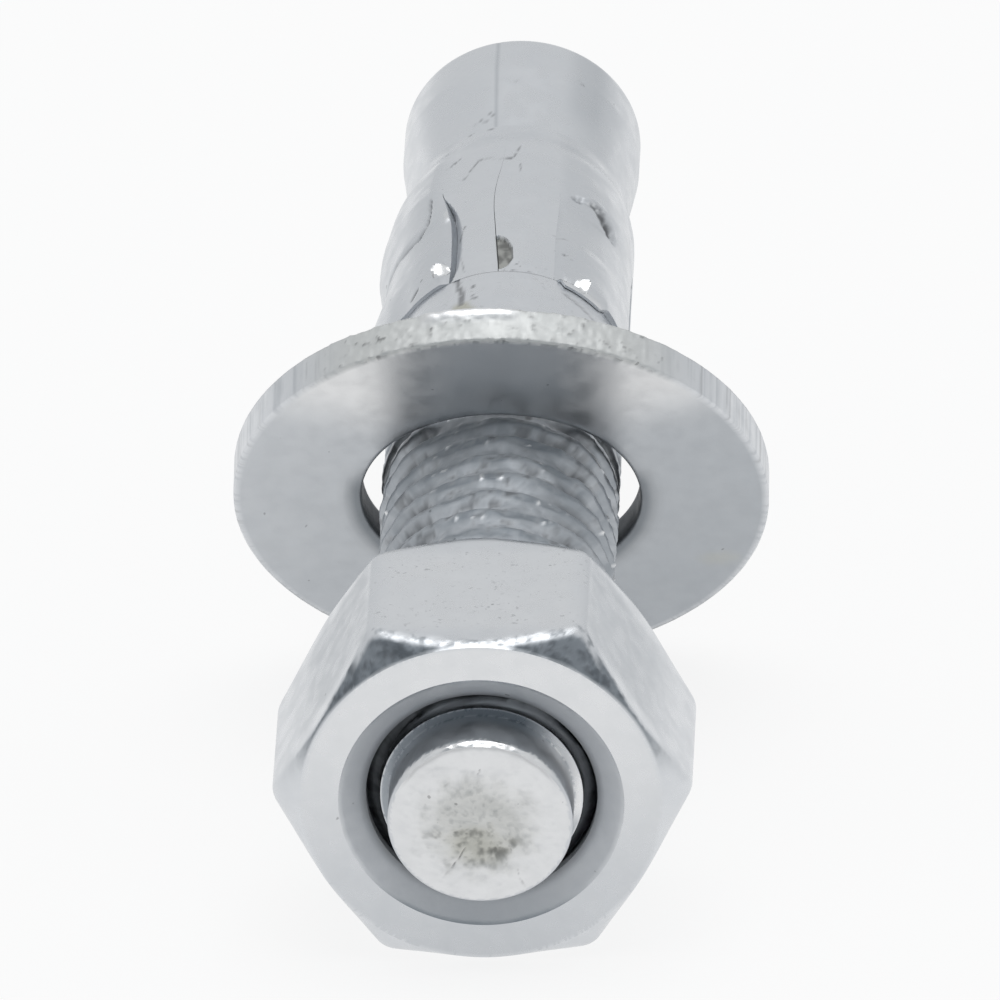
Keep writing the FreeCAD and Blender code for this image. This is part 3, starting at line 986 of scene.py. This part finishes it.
def strip_quads(shape, kept):
    """Quads of the strip's outside, of its underside, and of the walls round what is kept."""
    under = shape[0] * shape[1]
    index = np.arange(under).reshape(shape)
    quads = []
    for i, j in zip(*np.nonzero(kept)):
        a, b, c, d = index[i, j], index[i, j + 1], index[i + 1, j + 1], index[i + 1, j]
        quads += [(a, b, c, d), (d + under, c + under, b + under, a + under)]
        for row, column, first, second in ((i - 1, j, a, b), (i, j + 1, b, c),
                                           (i + 1, j, c, d), (i, j - 1, d, a)):
            within = 0 <= row < kept.shape[0] and 0 <= column < kept.shape[1]
            if not within or not kept[row, column]:
                quads.append((second, first, first + under, second + under))
    return np.array(quads)


def make_clip(clip, stud, colours):
    front = CLIP_FRONT / MM
    rear = stud.shoulder / MM + REAR_GAP
    slit_end = (CLIP_REAR + clip.slit_length) / MM
    crest = stud.crest_diameter / 2
    rows = rear + (front - rear) * ROWS
    base, side, number = clip_columns()

    # Where each column stands in each row: the borders move, and the slits open
    degrees = np.array([np.interp(base, SOLID_BORDERS, border_angles(along)) for along in rows])
    half = np.full((len(rows), len(BORDERS)), clip.slit / 2)
    half[:, 0] = clip.seam / 2 * np.interp(rows, (45.0, 53.0), (1.0, 0.05))
    half[:, [SHORT_SLIT, CREVICE]] = clip.slit / 6
    half = np.degrees(half / (ROUND_REACH * MM))
    opened = rows[:, None] < np.where(number == SHORT_SLIT, SHORT_SLIT_END, slit_end)
    at_slit = (side != 0) & (opened | (number == 0))
    angle = np.radians(degrees + np.where(at_slit, side * half[:, number], 0))
    u = rows[:, None] + 0 * angle
    v = wrapped(angle) * ROUND_REACH

    # The round surface, the tongues that rise from it and the dents in both
    plain_outer = stud.neck_diameter / 2 + clip.clearance + clip.thickness
    tip = cone_radius(stud, CLIP_FRONT) + clip.tip_thickness
    tapers = ease(u * MM, CLIP_FRONT - clip.tip_taper, CLIP_FRONT)
    outer = plain_outer + (tip - plain_outer) * tapers
    cut_free = ease(slit_end - u, 0, 2.2)
    tongues = list(zip(SOLID_BORDERS[1:-1:2], SOLID_BORDERS[2:-1:2]))
    leaning = base + side * 0.5
    inside = sum((leaning > start) & (leaning < stop) for start, stop in tongues)
    tongue = on_tongues(base) * (1 - cut_free) + inside * cut_free
    points = turn(outer, u * MM, angle)
    crumbs = rough(points, 0.5 * MM, 61)
    fine = rough(points, 0.2 * MM, 62, 2)
    sunk, marks = clip_marks(u, v, crumbs, fine, tongue)
    shoulder = 0.0
    for border, sign in zip(SOLID_BORDERS[1:-1], (1, -1) * len(tongues)):
        inward = sign * (base - border)
        shoulder = shoulder + 0.16 * fade(inward, 0, 4.5) * (inward > -0.01)
    height = (tongue_height(u, base + 0 * u) - shoulder * cut_free) * tongue
    past = v - v[:, [np.argmax((number == CREVICE) & (side == 1))]]
    width = np.interp(u, *zip(*CREVICE_WIDTH))
    slope = np.clip(1 - past / np.maximum(width, 0.05), 0, 1) * (past > -0.001)
    slope = slope * ease(width, 0.02, 0.2)
    # Painted shade down the valley beside the left tongue.
    marks["slate"] = np.maximum(marks["slate"], 0.5 * ease(slope, 0.0, 0.5) * (1 - slope))
    marks["matt"] = np.maximum(marks["matt"], ease(slope, 0.0, 0.3))
    flush = (plain_outer - crest) / MM * fade(u, rear, rear + 1.5) * (1 - tongue)
    sunk = sunk + 0.36 * slope ** 1.2 + flush
    rear_edge = clip.edge * fade(u, rear, rear + clip.edge / MM)
    outer = outer + (height - sunk) * MM - rear_edge

    # The underside, closer and closer to the cone, and the lip bent over the shoulder
    thin = ease(u, front - 4, front)
    inner = cone_radius(stud, u * MM) + clip.clearance * (1 - thin)
    inner = inner + np.maximum(outer - clip.tongue_thickness - inner, 0) * tongue
    inner = np.minimum(inner, outer - np.where(thin > 0.5, 0.02, 0.12) * MM)
    lip = fade(u, 41.45, 42.6) * across(v, 27, 31, 50, 56)
    along = (u - 0.4 * lip) * MM
    over = (along < 41.38 * MM) & (lip > 0.02)
    inner = np.where(over, np.maximum(inner, crest + 0.03 * MM), inner)
    outer = np.where(over, np.maximum(outer, inner + 0.14 * MM), outer)

    kept = np.ones((len(rows) - 1, len(base) - 1), bool)
    gap = np.nonzero((side[:-1] == -1) & (side[1:] == 1))[0]
    kept[:, gap] = ~opened[1:, gap]
    points = np.stack([turn(outer, along, angle), turn(inner, along, angle)]).reshape(-1, 3)
    # The underside and the slit walls get painted shade.
    hidden = marked(u.shape, soot=0.1 * ease(u, rear + 0.1, rear + 0.6), slate=0.1, matt=1.0)
    piece = welded("plated_clip", points, strip_quads(u.shape, kept), joined([marks, hidden]), 40.0)
    fit_out(piece, "expansion_clip", plating("clip_plating", colours))


# Stage

LAMP_PLACE = (0.05, -0.1, 0.9)
VIEW_DOWN, VIEW_ACROSS, VIEW_ROLL = (radians(degrees) for degrees in (30.656, -3.065, -2.38))
AIM_ALONG = 20 * MM             # the aim's place along the stud's axis
AIM_RIGHT, AIM_UP = 0.26927 * MM, 4.54027 * MM      # and from there in the picture's plane


def make_camera(settings):
    """The photograph's view: fitted angles about the stud's axis, then laid down with it."""
    forward = Vector((sin(VIEW_ACROSS) * cos(VIEW_DOWN), cos(VIEW_ACROSS) * cos(VIEW_DOWN),
                      -sin(VIEW_DOWN)))
    level = Vector((cos(VIEW_ACROSS), -sin(VIEW_ACROSS), 0))
    above = level.cross(forward)
    right = level * cos(VIEW_ROLL) + above * sin(VIEW_ROLL)
    up = above * cos(VIEW_ROLL) - level * sin(VIEW_ROLL)
    aim = Vector((0, AIM_ALONG, 0)) + right * AIM_RIGHT + up * AIM_UP
    laid = Matrix((ACROSS, AXIS, UP)).transposed()
    camera = added("camera", bpy.data.cameras.new("camera"))
    camera.data.lens = settings.lens
    camera.data.sensor_width = 36.0
    camera.data.clip_start = 0.01
    camera.data.clip_end = 20.0
    place = laid @ (aim - forward * settings.camera_distance) + FACE
    turned = laid @ Matrix((right, up, -forward)).transposed()
    camera.matrix_world = Matrix.Translation(place) @ turned.to_4x4()
    bpy.context.scene.camera = camera
    return camera


def make_world(settings, dark_towards):
    """White behind the anchor, and for its light a light grey room with one dark side."""
    world = bpy.data.worlds.new("studio")
    nodes = Nodes(world)
    towards = nodes.add("VectorMath", {0: nodes.add("TexCoord", {}, "Generated"), 1: dark_towards},
                        "Value", operation="DOT_PRODUCT")
    shade = nodes.between(towards, cos(settings.dark_outer), cos(settings.dark_inner))
    room = nodes.mix(shade, settings.walls, settings.dark_side)
    strength = nodes.add("MapRange", {"Value": nodes.seen_directly(), "To Max": 1.0,
                                      "To Min": settings.sky_strength})
    nodes.set(nodes.tree.nodes["Background"], strength=strength,
              color=nodes.mix(nodes.ray("Camera"), room, (1, 1, 1)))
    bpy.context.scene.world = world


def make_floor(settings):
    """Pale paper that looks white and still takes the anchor's shadow."""
    mesh = bpy.data.meshes.new("floor")
    half = 3.0
    mesh.from_pydata([(-half, -half, 0), (half, -half, 0), (half, half, 0), (-half, half, 0)],
                     [], [(0, 1, 2, 3)])
    floor = added("floor", mesh)
    material = bpy.data.materials.new("floor_paper")
    nodes = Nodes(material)
    paper = nodes.tree.nodes["Principled BSDF"]
    nodes.set(paper, base_color=settings.floor_colour, roughness=0.9)
    paper.inputs["Specular IOR Level"].default_value = 0.0
    gleam = nodes.times(nodes.seen_directly(), settings.floor_gleam)
    glow = nodes.times(nodes.ray("Camera"), settings.floor_glow)
    white = nodes.add("MixShader", {0: nodes.most(gleam, glow), 1: paper.outputs[0],
                                    2: nodes.add("Emission", {})})
    nodes.set(nodes.tree.nodes["Material Output"], surface=white)
    mesh.materials.append(material)


def make_lamp(name, place, size, power):
    """A round lamp that shines on the frame's origin."""
    lamp = added(name, bpy.data.lights.new(name, "AREA"))
    lamp.data.shape = "DISK"
    lamp.data.size = size
    lamp.data.energy = power
    lamp.location = place
    lamp.rotation_euler = (-lamp.location).to_track_quat("-Z", "Y").to_euler()


class ANCHOR_OT_stud(bpy.types.Operator):
    """Make the stud with its rolled thread, neck and cone"""
    bl_idname = "anchor.stud"
    bl_label = "Stud"

    def execute(self, context):
        make_stud(context.scene.anchor_stud, context.scene.anchor_colours)
        return {"FINISHED"}


class ANCHOR_OT_nut(bpy.types.Operator):
    """Make the hex nut"""
    bl_idname = "anchor.nut"
    bl_label = "Hex nut"

    def execute(self, context):
        make_nut(context.scene.anchor_nut, context.scene.anchor_colours)
        return {"FINISHED"}


class ANCHOR_OT_washer(bpy.types.Operator):
    """Make the leaning washer"""
    bl_idname = "anchor.washer"
    bl_label = "Washer"

    def execute(self, context):
        make_washer(context.scene.anchor_washer, context.scene.anchor_colours)
        return {"FINISHED"}


class ANCHOR_OT_clip(bpy.types.Operator):
    """Make the pressed expansion clip"""
    bl_idname = "anchor.clip"
    bl_label = "Expansion clip"

    def execute(self, context):
        scene = context.scene
        make_clip(scene.anchor_clip, scene.anchor_stud, scene.anchor_colours)
        return {"FINISHED"}


class ANCHOR_OT_stage(bpy.types.Operator):
    """Set the floor, the studio light and the camera"""
    bl_idname = "anchor.stage"
    bl_label = "Stage"

    def execute(self, context):
        settings = context.scene.anchor_stage
        context.scene.view_settings.view_transform = "Standard"
        camera = make_camera(settings)
        make_world(settings, camera.matrix_world.col[2].xyz)
        make_floor(settings)
        make_lamp("overhead_lamp", LAMP_PLACE, settings.lamp_size, settings.lamp_power)
        return {"FINISHED"}


class ANCHOR_PT_panel(bpy.types.Panel):
    """Lists the anchor's pieces and its stage"""
    bl_idname = "ANCHOR_PT_panel"
    bl_label = "Wedge Anchor"
    bl_space_type = "VIEW_3D"
    bl_region_type = "UI"
    bl_category = "Anchor"

    def draw(self, context):
        for operator in OPERATORS:
            self.layout.operator(operator.bl_idname)


OPERATORS = (ANCHOR_OT_stud, ANCHOR_OT_nut, ANCHOR_OT_washer, ANCHOR_OT_clip, ANCHOR_OT_stage)
GROUPS = {
    "anchor_stud": StudSizes,
    "anchor_nut": NutSizes,
    "anchor_washer": WasherSizes,
    "anchor_clip": ClipSizes,
    "anchor_colours": PlatingColours,
    "anchor_stage": StageSettings,
}


def register():
    for group in GROUPS.values():
        bpy.utils.register_class(group)
    for name, group in GROUPS.items():
        setattr(bpy.types.Scene, name, PointerProperty(type=group))
    for operator in (*OPERATORS, ANCHOR_PT_panel):
        bpy.utils.register_class(operator)


def unregister():
    for operator in (ANCHOR_PT_panel, *reversed(OPERATORS)):
        bpy.utils.unregister_class(operator)
    for name, group in GROUPS.items():
        delattr(bpy.types.Scene, name)
        bpy.utils.unregister_class(group)


def main():
    register()
    bpy.ops.anchor.stud()
    bpy.ops.anchor.nut()
    bpy.ops.anchor.washer()
    bpy.ops.anchor.clip()
    bpy.ops.anchor.stage()


if __name__ == "__main__":
    main()
